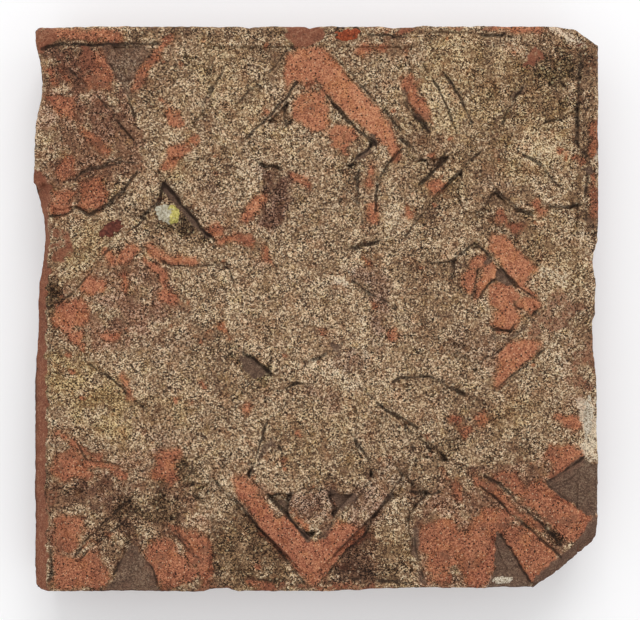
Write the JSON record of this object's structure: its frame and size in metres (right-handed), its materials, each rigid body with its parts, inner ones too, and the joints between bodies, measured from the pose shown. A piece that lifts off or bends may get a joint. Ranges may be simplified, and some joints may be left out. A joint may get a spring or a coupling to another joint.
{
  "type": "encaustic tile",
  "caption": "Square handmade floor tile of fired red clay with a worn relief of pointed frames, trefoils, corner leaves and a ring, one corner broken off.",
  "frame": {"origin": "middle of the flat back of the tile, on the surface it rests on", "axes": "+Z out of the patterned face, +Y to the top of the pattern as pictured, +X to the right"},
  "size_m": [0.152, 0.152, 0.0239],
  "materials": {
    "body_clay": "unglazed fired red clay under a buff-brown weathered crust, rough",
    "rim_clay": "unglazed fired red clay, worn and partly crusted, rough",
    "frame_clay": "unglazed fired red clay, bare orange where worn, crusted elsewhere, rough",
    "crusted_clay": "fired clay under a speckled buff-brown crust, rough",
    "leaf_clay": "fired clay, orange on worn lobes and crusted between, rough",
    "trefoil_clay": "fired clay, orange on worn lobes and crusted between, rough",
    "brown_stone": "dark red-brown pebble, dull",
    "red_grog": "bright red fired clay crumb, dull",
    "lime": "chalky pale yellow-white lime, matt",
    "old_mortar": "pale grey-buff lime mortar, matt"
  },
  "bodies": {
    "root": {"rim_north": "rim_clay", "frame_north": "frame_clay", "trefoil_north": "trefoil_clay", "rim_east": "rim_clay", "frame_east": "frame_clay", "trefoil_east": "trefoil_clay", "rim_south": "rim_clay", "frame_south": "frame_clay", "trefoil_south": "trefoil_clay", "rim_west": "rim_clay", "frame_west": "frame_clay", "trefoil_west": "trefoil_clay", "knot_ne": "crusted_clay", "stem_ne": "crusted_clay", "leaf_ne": "leaf_clay", "knot_se": "crusted_clay", "stem_se": "crusted_clay", "leaf_se": "leaf_clay", "knot_sw": "crusted_clay", "stem_sw": "crusted_clay", "leaf_sw": "leaf_clay", "knot_nw": "crusted_clay", "stem_nw": "crusted_clay", "leaf_nw": "leaf_clay", "centre_ring": "crusted_clay", "rosette": "crusted_clay", "rosette_boss": "crusted_clay", "tile_body": "body_clay", "pebble_brown": "brown_stone", "pebble_red": "red_grog", "lime_fleck": "lime", "mortar_east": "old_mortar", "mortar_south": "old_mortar"}
  },
  "joints": []
}
